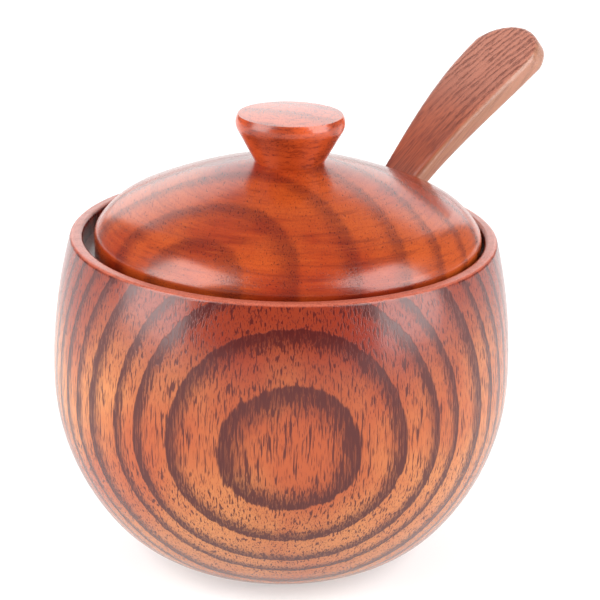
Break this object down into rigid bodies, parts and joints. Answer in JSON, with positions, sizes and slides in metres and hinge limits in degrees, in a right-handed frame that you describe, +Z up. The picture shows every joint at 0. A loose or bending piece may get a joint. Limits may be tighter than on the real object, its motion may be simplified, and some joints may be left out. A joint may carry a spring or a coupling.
{
  "type": "sugar bowl",
  "caption": "Round turned wooden sugar bowl with a domed lid, a flared knob, and a wooden spoon whose handle leaves through a notch in the lid.",
  "frame": {"origin": "centre of the flat foot, on the surface that the bowl stands on", "axes": "+Z up along the turning axis; the front of the bowl faces -Y, and the spoon's handle leaves over the rim at the back right, towards +X and +Y"},
  "size_m": [0.1113, 0.1111, 0.1066],
  "materials": {
    "bowl_wood": "clear gloss lacquer over reddish stained wood",
    "lid_wood": "clear gloss lacquer over reddish stained wood",
    "knob_wood": "clear gloss lacquer over reddish stained wood",
    "spoon_wood": "satin lacquer over brown wood"
  },
  "bodies": {
    "bowl": {"bowl": "bowl_wood"},
    "lid": {"lid": "lid_wood", "lid_knob": "knob_wood"},
    "spoon": {"spoon": "spoon_wood"}
  },
  "joints": [
    {"name": "lid_lift", "type": "slide", "parent": "bowl", "child": "lid", "axis": [0, 0, 1], "range_m": [0, 0.12]},
    {"name": "spoon_slide", "type": "slide", "parent": "bowl", "child": "spoon", "axis": [0.5384, 0.4207, 0.7302], "range_m": [0, 0.038]}
  ]
}
